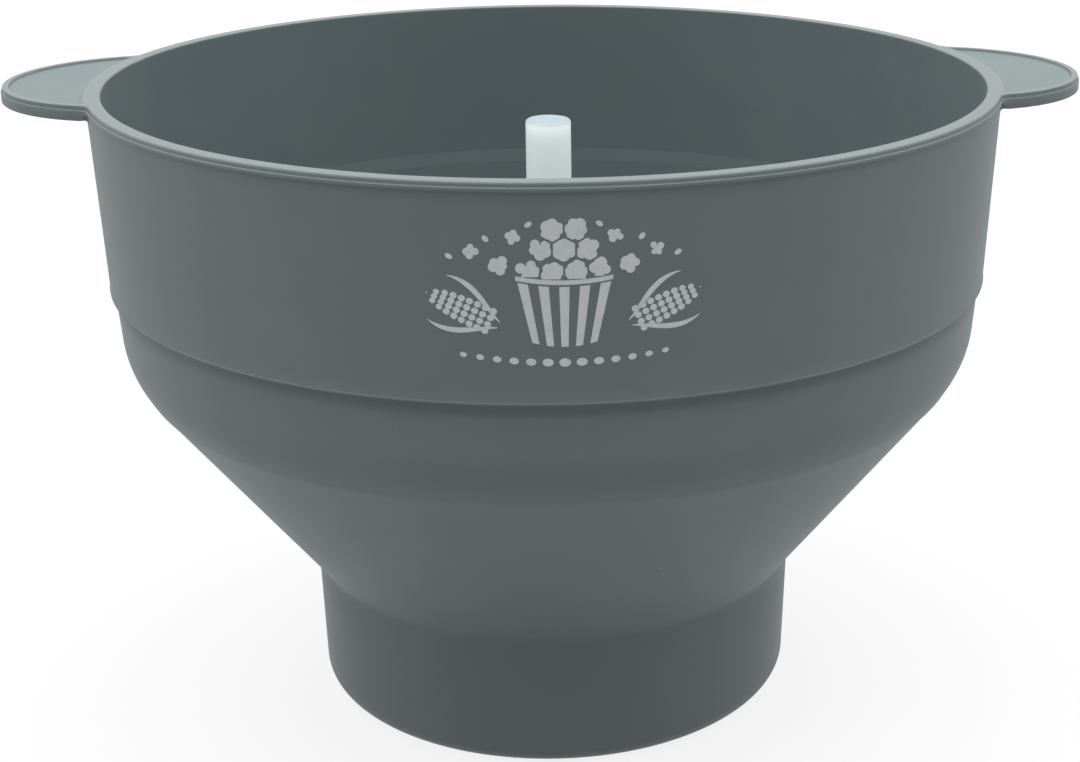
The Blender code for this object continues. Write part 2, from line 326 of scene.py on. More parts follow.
class Board:
    """The node tree of a material or a world, with one method that adds every kind of node."""

    def __init__(self, owner: bpy.types.Material | bpy.types.World) -> None:
        """Start with an empty tree on this material or world."""
        owner.use_nodes = True
        self.owner = owner
        self.nodes = owner.node_tree.nodes
        self.links = owner.node_tree.links
        self.nodes.clear()

    def add(
        self,
        kind: str,
        settings: dict[str, object] | None = None,
        inputs: dict[int | str, object] | None = None,
        output: int | str = 0,
    ) -> Socket:
        """Add a node, set it up and connect it.

        Args:
            kind: Blender's name of the node's type.
            settings: The node's own settings, set before its sockets.
            inputs: Values or Sockets for its inputs, by number or name.
            output: Which output the returned Socket stands for.

        Returns:
            The chosen output. A node without outputs returns a Socket of its first input.
        """
        node = self.nodes.new(kind)
        for key, value in (settings or {}).items():
            setattr(node, key, value)
        for key, value in (inputs or {}).items():
            if isinstance(value, Socket):
                self.links.new(value.output, node.inputs[key])
            else:
                node.inputs[key].default_value = value
        if not node.outputs:
            return Socket(self, node.inputs[0])
        return Socket(self, node.outputs[output])

    def place(self) -> Socket:
        """Return the point on the piece, in metres, in the piece's own frame."""
        return self.add("ShaderNodeTexCoord", output="Object")

    def scaled(self, vector: Socket, factors: tuple[float, float, float]) -> Socket:
        """Return the vector with each of its parts multiplied."""
        return self.add("ShaderNodeVectorMath", {"operation": "MULTIPLY"}, {0: vector, 1: factors})

    def height(self, vector: Socket) -> Socket:
        """Return the height of the vector's point."""
        return self.add("ShaderNodeSeparateXYZ", inputs={0: vector}, output="Z")

    def noise(self, vector: Socket, size: float, detail: float = 2.0) -> Socket:
        """Return a soft random pattern from 0 to 1 whose patches are about this size."""
        return self.add(
            "ShaderNodeTexNoise", inputs={"Vector": vector, "Scale": 1 / size, "Detail": detail}, output="Fac"
        )

    def spots(self, vector: Socket, marks: Marks) -> Socket:
        """Scatter round spots.

        Args:
            vector: Where the pattern is read.
            marks: Their spacing, radius and share.

        Returns:
            The marks' share at the middle of a spot and 0 outside all spots.
        """
        distance = self.add(
            "ShaderNodeTexVoronoi", inputs={"Vector": vector, "Scale": 1 / marks.spacing}, output="Distance"
        )
        return self.ramp(distance, 0.0, marks.radius / marks.spacing, marks.share, 0.0)

    def shown(self, pattern: Socket, clouds: Clouds) -> Socket:
        """Return how much of a tone these clouds show, from 0 to their share."""
        return self.ramp(pattern, clouds.low, clouds.high, 0.0, clouds.share)

    def ramp(
        self, value: Socket, low: float, high: float, at_low: float = 0.0, at_high: float = 1.0
    ) -> Socket:
        """Return a smooth rise or fall of the value between two marks."""
        settings = {"interpolation_type": "SMOOTHSTEP"}
        inputs = {"Value": value, "From Min": low, "From Max": high, "To Min": at_low, "To Max": at_high}
        return self.add("ShaderNodeMapRange", settings, inputs, output="Result")

    def mix(
        self, share: Socket | float, below: Socket | Colour, above: Socket | Colour, how: Mixing = Mixing.OVER
    ) -> Socket:
        """Lay one colour over another.

        Args:
            share: How much of the upper colour shows, from 0 to 1.
            below: The colour underneath.
            above: The colour laid over it.
            how: The way in which they mix.

        Returns:
            The mixed colour.
        """
        settings = {"data_type": "RGBA", "blend_type": how.value}
        first = below if isinstance(below, Socket) else (*below, 1.0)
        second = above if isinstance(above, Socket) else (*above, 1.0)
        return self.add("ShaderNodeMix", settings, {0: share, 6: first, 7: second}, output=2)

    def bump(self, height: Socket, depth: float, under: Socket | None = None) -> Socket:
        """Turn a height pattern into surface relief.

        Args:
            height: The pattern, from 0 to 1.
            depth: Height in metres of its full step.
            under: Relief that this one adds to.

        Returns:
            The bent normal.
        """
        inputs: dict[int | str, object] = {"Height": height, "Distance": depth, "Strength": 1.0}
        if under is not None:
            inputs["Normal"] = under
        return self.add("ShaderNodeBump", inputs=inputs)

    def finish(self, shader: Socket) -> bpy.types.Material | bpy.types.World:
        """Connect the shader to the output and return the material or the world."""
        is_world = isinstance(self.owner, bpy.types.World)
        kind = "ShaderNodeOutputWorld" if is_world else "ShaderNodeOutputMaterial"
        self.add(kind, inputs={"Surface": shader})
        return self.owner


@dataclass(frozen=True)
class SiliconeFinish:
    """Matte moulded silicone: soft mottling, a fine mould grain, lint, a few faint scuffs and a painted
    highlight on the rim's top.
    """

    colour: Colour = (0.216, 0.260, 0.266)
    pale: Colour = (0.226, 0.268, 0.270)
    deep: Colour = (0.207, 0.252, 0.263)
    patches: Clouds = Clouds(size=60 * MM, detail=3.0, low=0.38, high=0.66)
    clouds: Clouds = Clouds(size=14 * MM, detail=4.0, low=0.42, high=0.75, share=0.5)
    # Painted highlight: a paler colour laid on the rim's flat top, as light from above makes it.
    painted_top_light: Colour = (0.268, 0.300, 0.297)
    painted_top_depth: float = 0.35 * MM
    painted_top_share: float = 0.9
    lint: Colour = (0.50, 0.55, 0.55)
    fine_lint: Marks = Marks(spacing=8.5 * MM, radius=0.20 * MM)
    coarse_lint: Marks = Marks(spacing=21 * MM, radius=0.34 * MM)
    lint_low: float = 0.1
    lint_high: float = 0.7
    lint_share: float = 0.8
    scuff: Colour = (0.110, 0.135, 0.145)
    scuffs: Marks = Marks(spacing=15 * MM, radius=0.42 * MM, share=0.6)
    scuff_stretch: tuple[float, float, float] = (1.0, 1.0, 0.35)
    roughness: float = 0.52
    roughness_spread: float = 0.05
    wear_size: float = 3.2 * MM
    wear_detail: float = 5.0
    gloss: float = 0.28
    grain_size: float = 0.4 * MM
    grain_depth: float = 0.004 * MM
    wave_size: float = 30 * MM
    wave_depth: float = 0.02 * MM

    def material(self, name: str, rim_top: float | None = None) -> bpy.types.Material:
        """Build the material.

        Args:
            name: Name of the material.
            rim_top: Height of the rim, whose flat top gets a painted highlight, paler as if lit from above,
                if the piece has one.

        Returns:
            The material.
        """
        board = Board(bpy.data.materials.new(name))
        place = board.place()
        patches = board.noise(place, self.patches.size, self.patches.detail)
        clouds = board.noise(place, self.clouds.size, self.clouds.detail)
        tone = board.mix(board.shown(patches, self.patches), self.deep, self.colour)
        tone = board.mix(board.shown(clouds, self.clouds), tone, self.pale)
        # Painted highlight: the flat top, down to a small depth below the rim's height, is painted paler.
        if rim_top is not None:
            top = board.ramp(board.height(place), rim_top - self.painted_top_depth, rim_top, 0.0, self.painted_top_share)
            tone = board.mix(top, tone, self.painted_top_light)
        lint = board.spots(place, self.fine_lint) + board.spots(place, self.coarse_lint)
        lint = board.ramp(lint, self.lint_low, self.lint_high, 0.0, self.lint_share)
        tone = board.mix(lint, tone, self.lint)
        scuffs = board.spots(board.scaled(place, self.scuff_stretch), self.scuffs)
        tone = board.mix(scuffs, tone, self.scuff)
        wear = board.noise(place, self.wear_size, self.wear_detail)
        roughness = self.roughness + self.roughness_spread * (wear - 0.5)
        relief = board.bump(board.noise(place, self.wave_size, 1.0), self.wave_depth)
        relief = board.bump(board.noise(place, self.grain_size), self.grain_depth, relief)
        shader = board.add(
            "ShaderNodeBsdfPrincipled",
            inputs={
                "Base Color": tone,
                "Roughness": roughness,
                "Specular IOR Level": self.gloss,
                "Normal": relief,
            },
        )
        return board.finish(shader)


@dataclass(frozen=True)
class PostFinish:
    """Satin, slightly translucent white plastic with a faint cloudiness, a painted shade at its end and a
    painted glow.
    """

    colour: Colour = (0.84, 0.95, 0.96)
    cloud: Colour = (0.81, 0.925, 0.935)
    clouds: Clouds = Clouds(size=4 * MM, detail=3.0, low=0.35, high=0.75)
    cloud_stretch: tuple[float, float, float] = (1.0, 1.0, 0.2)
    speck: Colour = (0.35, 0.36, 0.35)
    specks: Marks = Marks(spacing=6 * MM, radius=0.16 * MM, share=0.35)
    # Painted shade: a darker colour over the post's end and the top of its side, evening out the light that
    # falls there.
    end: Colour = (0.36, 0.45, 0.50)
    painted_shade_depth: float = 1.6 * MM
    roughness: float = 0.42
    roughness_spread: float = 0.1
    refraction: float = 1.49
    gloss: float = 0.3
    translucency: float = 1.0
    glow_depth: float = 25.0 * MM
    glow_reach: Colour = (0.75, 1.0, 1.0)
    # Painted light: the post glows a little by itself, standing in for light carried inside the plastic.
    painted_glow: float = 0.26
    grain_size: float = 0.6 * MM
    grain_depth: float = 0.004 * MM

    def material(self, name: str, top: float) -> bpy.types.Material:
        """Build the material.

        Args:
            name: Name of the material.
            top: Height of the post's end, whose colour is darkened as painted shade to offset the stronger
                light that falls on it.

        Returns:
            The material.
        """
        board = Board(bpy.data.materials.new(name))
        place = board.place()
        clouds = board.noise(board.scaled(place, self.cloud_stretch), self.clouds.size, self.clouds.detail)
        tone = board.mix(board.shown(clouds, self.clouds), self.colour, self.cloud)
        # Painted shade: the colour darkens towards the post's end.
        tone = board.mix(board.ramp(board.height(place), top - self.painted_shade_depth, top), tone, self.end)
        tone = board.mix(board.spots(place, self.specks), tone, self.speck)
        roughness = self.roughness + self.roughness_spread * (clouds - 0.5)
        relief = board.bump(board.noise(place, self.grain_size), self.grain_depth)
        shader = board.add(
            "ShaderNodeBsdfPrincipled",
            {"subsurface_method": "RANDOM_WALK"},
            {
                "Base Color": tone,
                "Roughness": roughness,
                "IOR": self.refraction,
                "Specular IOR Level": self.gloss,
                "Subsurface Weight": self.translucency,
                "Subsurface Radius": self.glow_reach,
                "Subsurface Scale": self.glow_depth,
                # Painted light: a faint glow in the post's own colour.
                "Emission Color": tone,
                "Emission Strength": self.painted_glow,
                "Normal": relief,
            },
        )
        return board.finish(shader)


@dataclass(frozen=True)
class InkFinish:
    """Pale screen-printing ink with pinholes and a little unevenness."""

    colour: Colour = (0.92, 0.965, 0.97)
    thin: Colour = (0.80, 0.87, 0.88)
    clouds: Clouds = Clouds(size=1.6 * MM, detail=4.0, low=0.45, high=0.8)
    pinhole: Colour = (0.2, 0.24, 0.25)
    pinholes: Marks = Marks(spacing=1.1 * MM, radius=0.10 * MM, share=0.5)
    roughness: float = 0.55
    roughness_spread: float = 0.1
    refraction: float = 1.45
    grain_size: float = 0.35 * MM
    grain_depth: float = 0.006 * MM

    def material(self, name: str) -> bpy.types.Material:
        """Build the material.

        Args:
            name: Name of the material.

        Returns:
            The material.
        """
        board = Board(bpy.data.materials.new(name))
        place = board.place()
        clouds = board.noise(place, self.clouds.size, self.clouds.detail)
        tone = board.mix(board.shown(clouds, self.clouds), self.colour, self.thin)
        tone = board.mix(board.spots(place, self.pinholes), tone, self.pinhole)
        relief = board.bump(board.noise(place, self.grain_size), self.grain_depth)
        roughness = self.roughness + self.roughness_spread * (clouds - 0.5)
        shader = board.add(
            "ShaderNodeBsdfPrincipled",
            inputs={"Base Color": tone, "Roughness": roughness, "IOR": self.refraction, "Normal": relief},
        )
        return board.finish(shader)


@dataclass(frozen=True)
class HandleShape:
    """The plan of the rim with its two crescent handles, told by distances from the outline.

    A handle is an arc about a centre inside the rim. Concave roots lead from it to the rim's ledge.
    """

    ledge_radius: float
    rim_radius: float
    tip_reach: float
    tip_radius: float = 31.5 * MM
    root_radius: float = 3.0 * MM
    bead_width: float = 1.75 * MM
    bead_slope: float = 0.35 * MM
    recess_depth: float = 0.62 * MM
    seam_slope: float = 1.6 * MM
    full_width: float = 1.3 * MM

    @property
    def tip_centre(self) -> float:
        """Distance from the axis to the centre of the handle's arc."""
        return self.tip_reach - self.tip_radius

    @property
    def root_centre(self) -> Vector:
        """Centre of the concave root arc on the side of positive angles."""
        reach = self.ledge_radius + self.root_radius
        span = self.tip_radius + self.root_radius
        x = (reach**2 + self.tip_centre**2 - span**2) / (2 * self.tip_centre)
        return Vector((x, math.sqrt(reach**2 - x**2)))

    @property
    def root_end(self) -> float:
        """Angle at which a root runs out into the rim."""
        return math.atan2(self.root_centre.y, self.root_centre.x)

    def outline(self, angle: float, inset: float) -> float:
        """Find how far out the plan reaches.

        Args:
            angle: Angle from the handle's middle.
            inset: Distance by which the outline is drawn in.

        Returns:
            The distance from the axis.
        """
        turn = abs(angle)
        if turn >= self.root_end:
            return self.ledge_radius - inset
        centre = self.root_centre
        span = (centre - Vector((self.tip_centre, 0.0))).normalized()
        joint = Vector((self.tip_centre, 0.0)) + span * (self.tip_radius - inset)
        if turn >= math.atan2(joint.y, joint.x):
            away = turn - self.root_end
            arc_radius = self.root_radius + inset
            side = centre.length * math.sin(away)
            return centre.length * math.cos(away) - math.sqrt(arc_radius**2 - side**2)
        side = self.tip_centre * math.sin(turn)
        return self.tip_centre * math.cos(turn) + math.sqrt((self.tip_radius - inset) ** 2 - side**2)

    def recess(self, angle: float, radius: float) -> float:
        """Find how deep the finger recess is.

        Args:
            angle: Angle from the handle's middle.
            radius: Distance from the axis.

        Returns:
            The depth below the rim's top.
        """
        spot = Vector((radius * math.cos(angle), radius * math.sin(angle)))
        from_tip = self.tip_radius - self.bead_width - (spot - Vector((self.tip_centre, 0.0))).length
        at_bead = smooth_step(from_tip / self.bead_slope)
        at_seam = smooth_step((radius - self.rim_radius) / self.seam_slope)
        return self.recess_depth * at_bead * at_seam

    def fullness(self, angle: float) -> float:
        """Return 0 on the plain rim and 1 where the handle has its full thickness."""
        return smooth_step((self.outline(angle, 0.0) - self.ledge_radius) / self.full_width)


@dataclass
class UpperMoulding:
    """The stiff upper band: rim, handles, tapered wall and the lip over the fold."""

    finish: SiliconeFinish
    rim_width: float = 3.4 * MM
    inner_round: float = 0.4 * MM
    inner_flat: float = 0.05 * MM
    inner_step: float = 0.5 * MM
    step_height: float = 3.6 * MM
    step_round: float = 4.0 * MM
    crown_round: float = 0.6 * MM
    crown_flat: float = 0.06 * MM
    tab_crown: float = 0.3 * MM
    ledge_drop: float = 1.0 * MM
    ledge_fall: float = 0.17 * MM
    ledge_proud: float = 0.35 * MM
    ledge_height: float = 0.8 * MM
    ledge_round: float = 0.10 * MM
    ledge_soft: float = 0.03 * MM
    rim_round: float = 0.12 * MM
    rim_fillet: float = 0.15 * MM
    tab_height: float = 3.4 * MM
    tab_round: float = 0.3 * MM
    tab_fillet: float = 0.9 * MM
    band_taper: float = 1.9 * MM
    lip_round: float = 0.18 * MM
    lip_flash: float = 0.16 * MM
    flash_heights: tuple[float, ...] = (0.62 * MM, 0.53 * MM, 0.40 * MM, 0.34 * MM)
    undercut: float = 0.9 * MM
    web_wall: float = 1.6 * MM
    recess_columns: int = 44
    plain_step: float = math.radians(1.0)
    handle_step: float = math.radians(0.3)
    replaced: tuple[str, ...] = ("rim_ring", "left_handle", "right_handle", "upper_wall", "fold_lip")
    top: float = field(init=False)
    rim_radius: float = field(init=False)
    lip_foot: float = field(init=False)
    plan: HandleShape = field(init=False)

    def __post_init__(self) -> None:
        """Read the rim's height and reach, the handles' reach and the lip's foot from the frame."""
        rim_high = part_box("rim_ring")[1]
        self.top = rim_high.z
        self.rim_radius = rim_high.x - self.ledge_proud
        self.lip_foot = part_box("fold_lip")[0].z
        self.plan = HandleShape(
            ledge_radius=rim_high.x, rim_radius=self.rim_radius, tip_reach=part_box("right_handle")[1].x
        )

    @property
    def lip_radius(self) -> float:
        """Radius of the wall at its foot."""
        return self.rim_radius - self.band_taper

    @property
    def web_radius(self) -> float:
        """Radius of the web that leaves the lip's underside."""
        return self.lip_radius - self.undercut

    def outer(self, height: float) -> Point:
        """Return the point of the outer wall at this height."""
        return on_line(Point(self.lip_radius, self.lip_foot), Point(self.rim_radius, self.top), height)

    def inside(self) -> list[Point]:
        """Draw the inside of the band, from the foot of the lip up to the rim's flat top.

        The foot is flush with the web, and a shallow step leads from it out to the wall.
        """
        crown = Point(self.rim_radius - self.rim_width, self.top)
        neck = Point(self.web_radius - self.web_wall, self.lip_foot)
        step = Point(neck.r + self.inner_step, neck.z + self.step_height)
        wall_top = on_line(step, crown, self.top - 1.2 * self.inner_round)
        points = [neck]
        points += rounded(neck, step, wall_top, self.step_round, 5)
        points += straight(points[-1], wall_top, 20)
        points.append(wall_top)
        centre = Point(crown.r + self.inner_round, self.top - self.inner_round)
        points += arc(centre, self.inner_round, 180, 90, 6)
        points.append(Point(centre.r + self.inner_flat, self.top))
        return points

    def recess_edge(self) -> float:
        """Return the distance from the outline at which the recess is at its full depth."""
        return self.plan.bead_width + self.plan.bead_slope

    def recess_row(self, angle: float) -> list[Point]:
        """Draw the top between the rim's inner edge and the handle's bead.

        Args:
            angle: Angle from the handle's middle.

        Returns:
            The points across the recess, or none beside the handles, where the rim is flat.
        """
        if abs(angle) > self.plan.root_end + self.handle_step:
            return []
        start = self.inside()[-1].r
        end = self.plan.outline(angle, self.recess_edge())
        points = []
        for i in range(self.recess_columns):
            radius = between(start, end, (i + 1) / (self.recess_columns + 1))
            points.append(Point(radius, self.top - self.plan.recess(angle, radius)))
        return points

    def outside(self, angle: float) -> list[Point]:
        """Draw the outer edge, the wall and the lip, from the bead down to the neck.

        Args:
            angle: Angle from the handle's middle.

        Returns:
            The points in order. Every angle has as many.
        """
        points = []
        for share in (0.0, 0.25, 0.5, 0.75, 1.0):
            inset = self.recess_edge() - share * self.plan.bead_slope
            radius = self.plan.outline(angle, inset)
            points.append(Point(radius, self.top - self.plan.recess(angle, radius)))
        crown = between(self.crown_round, self.tab_crown, self.plan.fullness(angle))
        edge = self.ledge_proud + crown
        points.append(Point(self.plan.outline(angle, edge + self.crown_flat), self.top))
        for i in range(7):
            turn = math.radians(15 * i)
            inset = edge - crown * math.sin(turn)
            drop = crown * (1 - math.cos(turn))
            points.append(Point(self.plan.outline(angle, inset), self.top - drop))
        points += self.two_tier_edge(angle)
        points += self.wall_and_lip(points[-1])
        return points

    def two_tier_edge(self, angle: float) -> list[Point]:
        """Draw the ledge line, the lower tier and its underside.

        Args:
            angle: Angle from the handle's middle.

        Returns:
            The points from the crown's side to the wall below the rim.
        """
        fullness = self.plan.fullness(angle)
        ledge = self.top - self.ledge_drop
        thick = between(self.ledge_drop + self.ledge_height, self.tab_height, fullness)
        foot = self.top - thick
        edge_round = between(self.rim_round, self.tab_round, fullness)
        fillet = between(self.rim_fillet, self.tab_fillet, fullness)
        reach = self.plan.outline
        steps = (
            (self.ledge_proud, ledge + self.ledge_round),
            (self.ledge_proud - self.ledge_soft, ledge + self.ledge_soft),
            (self.ledge_proud - self.ledge_round, ledge),
            (self.ledge_round, ledge - 0.6 * self.ledge_fall),
            (self.ledge_soft, ledge - 0.8 * self.ledge_fall),
            (0.0, ledge - 1.3 * self.ledge_fall),
        )
        points = [Point(reach(angle, inset), height) for inset, height in steps]
        for i in range(5):
            turn = math.radians(22.5 * i)
            inset = edge_round * (1 - math.cos(turn))
            points.append(Point(reach(angle, inset), foot + edge_round * (1 - math.sin(turn))))
        wall = self.outer(foot)
        under = Point(min(wall.r + fillet, points[-1].r - 0.01 * MM), foot)
        points += straight(points[-1], under, 4)
        points += rounded(under, wall, self.outer(foot - 2 * fillet), min(fillet, under.r - wall.r), 4)
        return points

    def wall_and_lip(self, start: Point) -> list[Point]:
        """Draw the tapered wall, the thin flash line at its foot and the lip's underside.

        Args:
            start: Where the wall starts, below the rim or a handle.

        Returns:
            The points from the wall to the neck.
        """
        foot = self.lip_foot
        wall_end, root, edge, under = (self.outer(foot + height) for height in self.flash_heights)
        proud = edge.r + self.lip_flash
        points = straight(start, wall_end, 16)
        points.append(wall_end)
        points.append(Point(root.r + 0.2 * self.lip_flash, root.z))
        points += [Point(proud - 0.02 * MM, edge.z), Point(proud, under.z)]
        points += arc(Point(proud - self.lip_round, foot + self.lip_round), self.lip_round, 0, -90, 5)
        points.append(Point(self.web_radius, foot))
        return points

    def angles(self) -> list[float]:
        """List the angles at which the band is cut, finer across the handles."""
        sector = self.plan.root_end + 2 * self.handle_step
        fine = round(2 * sector / self.handle_step)
        plain = round((HALF_TURN - 2 * sector) / self.plain_step)
        found = []
        for middle in (0.0, HALF_TURN):
            found += [middle + between(-sector, sector, i / fine) for i in range(fine)]
            start = middle + sector
            found += [start + (HALF_TURN - 2 * sector) * i / plain for i in range(plain)]
        return found

    def build(self) -> bpy.types.Object:
        """Loft the sections into one closed mesh and hang it on the upper body.

        Returns:
            The piece.
        """
        inside = self.inside()
        sections = []
        for angle in self.angles():
            local = (angle + HALF_TURN / 2) % HALF_TURN - HALF_TURN / 2
            sections.append((angle, self.recess_row(local), self.outside(local)))
        vertices = []
        columns = []
        for angle, row, outside in sections:
            direction = Vector((math.cos(angle), math.sin(angle)))
            runs = []
            for run in (inside, row, outside):
                first = len(vertices)
                vertices += [Vector((direction.x * p.r, direction.y * p.r, p.z)) for p in run]
                runs.append(list(range(first, len(vertices))))
            columns.append(runs)
        faces = []
        for here, there in zip(columns, columns[1:] + columns[:1]):
            faces += self.strip(here[0], there[0])
            faces += self.strip(here[2], there[2])
            faces.append((here[0][0], there[0][0], there[2][-1], here[2][-1]))
            left = [here[0][-1], *here[1], here[2][0]]
            right = [there[0][-1], *there[1], there[2][0]]
            if len(left) == len(right):
                faces += self.strip(left, right)
            else:
                faces.append((*left, *reversed(right)))
        mesh = shaded_mesh("upper_moulding", vertices, faces)
        piece = add_piece("upper_moulding", mesh, self.finish.material("matte_silicone_upper", self.top))
        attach(piece, Body.UPPER.value)
        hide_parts(*self.replaced)
        log.info("upper_moulding: %d faces", len(mesh.polygons))
        return piece

    @staticmethod
    def strip(left: Sequence[int], right: Sequence[int]) -> list[tuple[int, ...]]:
        """Join two columns of points with a strip of faces."""
        pairs = zip(left, left[1:], right[1:], right)
        return [tuple(corners) for corners in pairs]


@dataclass
class LowerMoulding:
    """The thin web, the stiff cone, the base cup with its foot, and the collar for the post."""

    finish: SiliconeFinish
    upper: UpperMoulding
    steps: int = 360
    tongue: float = 0.1 * MM
    tongue_inset: float = 0.05 * MM
    top_fillet: float = 0.12 * MM
    web_taper: float = 1.3 * MM
    shoulder_height: float = 88.0 * MM
    shoulder_round: float = 23.0 * MM
    fold_top: float = 97.0 * MM
    bead_height: float = 82.5 * MM
    bead_rise: float = 0.16 * MM
    bead_width: float = 4.0 * MM
    neck_draw: float = 0.6 * MM
    neck_run: float = 4.5 * MM
    crease_width: float = 5.0 * MM
    crease_wall: float = 3.2 * MM
    crease_lead: float = 0.3 * MM
    crease_land: tuple[Spot, ...] = ((0.85, 0.25), (0.7, 1.0), (0.4, 1.0), (0.12, 0.3))
    cone_wall: float = 2.6 * MM
    corner_round: float = 4.5 * MM
    base_taper: float = 0.8 * MM
    base_round: float = 5.3 * MM
    base_wall: float = 2.8 * MM
    base_inner_round: float = 4.0 * MM
    inner_corner_round: float = 1.5 * MM
    foot_width: float = 3.9 * MM
    foot_depth: float = 1.0 * MM
    foot_slope: float = 0.4 * MM
    foot_round: float = 0.3 * MM
    floor_thickness: float = 2.6 * MM
    collar_height: float = 8.0 * MM
    collar_wall: float = 3.0 * MM
    collar_taper: float = 0.6 * MM
    collar_round: float = 0.8 * MM
    bore_round: float = 0.4 * MM
    bore_chamfer: float = 0.2 * MM
    post_clearance: float = 0.3 * MM
    seam_drop: float = 0.03 * MM
    replaced: tuple[str, ...] = (
        "fold_web",
        "crease_ring",
        "cone_wall",
        "base_wall",
        "base_floor",
        "post_collar",
    )
    crease_height: float = field(init=False)
    base_top: Point = field(init=False)
    shoulder: Point = field(init=False)

    def __post_init__(self) -> None:
        """Read the crease and the top of the base from the frame."""
        self.crease_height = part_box("crease_ring")[1].z
        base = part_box("base_wall")[1]
        self.base_top = Point(base.x, base.z)
        self.shoulder = Point(self.upper.web_radius - self.web_taper, self.shoulder_height)

    @property
    def down(self) -> Vector:
        """Direction down the cone's outer face."""
        return (Vector(self.base_top) - Vector(self.shoulder)).normalized()

    def on_cone(self, distance: float, depth: float) -> Point:
        """Return the point this far down the cone from the shoulder and this deep inside its face."""
        inward = Vector((self.down.y, -self.down.x))
        return Point(*(Vector(self.shoulder) + self.down * distance + inward * depth))

    def cone_distance(self, height: float, depth: float) -> float:
        """Return how far down the cone the point at this height and depth lies."""
        level = self.on_cone(0.0, depth).z
        return (level - height) / -self.down.y

    def height_on_cone(self, radius: float, depth: float) -> float:
        """Return the height at which the face this deep inside the cone has this radius."""
        start = self.on_cone(0.0, depth)
        distance = (radius - start.r) / self.down.x
        return self.on_cone(distance, depth).z

    def outside(self) -> list[Point]:
        """Draw the outer face, from under the lip down to the foot's inner edge."""
        top = self.upper.lip_foot
        radius = self.upper.web_radius
        web_top = Point(radius, top)
        corner_run = (Vector(self.base_top) - Vector(self.shoulder)).length
        cone_middle = self.on_cone(0.5 * corner_run, 0.0)
        base_foot = Point(self.base_top.r - self.base_taper, 0.0)
        round_centre = Point(base_foot.r - self.base_round, self.base_round)
        points = [Point(radius - self.tongue_inset, top + self.tongue)]
        points += [Point(radius + self.top_fillet, top - 0.01 * MM)]
        points += arc(Point(radius + self.top_fillet, top - self.top_fillet), self.top_fillet, 105, 180, 5)
        shoulder_arc = rounded(web_top, self.shoulder, cone_middle, self.shoulder_round, 20)
        points += straight(points[-1], shoulder_arc[0], 14)
        points += shoulder_arc
        corner = rounded(cone_middle, self.base_top, base_foot, self.corner_round, 6)
        points += straight(points[-1], corner[0], 22)
        points += corner
        points = [self.with_bead(self.with_neck(point)) for point in points]
        foot_arc = arc(round_centre, self.base_round, 0, -90, 16)
        points += straight(points[-1], foot_arc[0], 10)
        points += foot_arc
        return points

    def with_bead(self, point: Point) -> Point:
        """Push a point out by the soft bead that runs round the foot of the shoulder."""
        share = 1 - abs(point.z - self.bead_height) / (self.bead_width / 2)
        return Point(point.r + self.bead_rise * smooth_step(share), point.z)

    def with_neck(self, point: Point) -> Point:
        """Draw a point in where the web springs, a little narrower, from under the lip."""
        share = 1 - (self.upper.lip_foot - point.z) / self.neck_run
        return Point(point.r - self.neck_draw * smooth_step(share), point.z)

    def underside(self) -> list[Point]:
        """Draw the flat foot ring and the recessed floor, in to the axis."""
        foot_inner = self.base_top.r - self.base_taper - self.base_round - self.foot_width
        ring_edge = Point(foot_inner, 0.0)
        floor_edge = Point(foot_inner - self.foot_slope, self.foot_depth)
        centre = Point(0.0, self.foot_depth)
        points = rounded(Point(foot_inner + MM, 0.0), ring_edge, floor_edge, self.foot_round, 4)
        points += rounded(ring_edge, floor_edge, centre, self.foot_round, 4)
        points += straight(points[-1], centre, 6)
        points.append(centre)
        return points

    def floor_and_collar(self) -> list[Point]:
        """Draw the inside from the axis: the seat of the post, its collar, the floor and its corner."""
        post_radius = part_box("centre_post")[1].x
        bore = post_radius + self.post_clearance
        foot = self.foot_depth + self.floor_thickness
        top = foot + self.collar_height
        outer = bore + self.collar_wall
        upper_outer = outer - self.collar_taper
        points = [Point(0.0, foot)]
        points += [Point(bore - self.bore_chamfer, foot), Point(bore, foot + self.bore_chamfer)]
        points.append(Point(bore, top - self.bore_round))
        points += arc(Point(bore + self.bore_round, top - self.bore_round), self.bore_round, 180, 90, 4)
        collar_foot = Point(outer, foot)
        round_centre = Point(upper_outer - self.collar_round, top - self.collar_round)
        points += arc(round_centre, self.collar_round, 90, 0, 6)
        inner_wall = self.base_top.r - self.base_taper - self.base_wall
        corner_centre = Point(inner_wall - self.base_inner_round, foot + self.base_inner_round)
        points += rounded(points[-1], collar_foot, Point(corner_centre.r, foot), self.collar_round, 5)
        points += straight(points[-1], Point(corner_centre.r, foot), 8)
        points += arc(corner_centre, self.base_inner_round, -90, 0, 10)
        return points

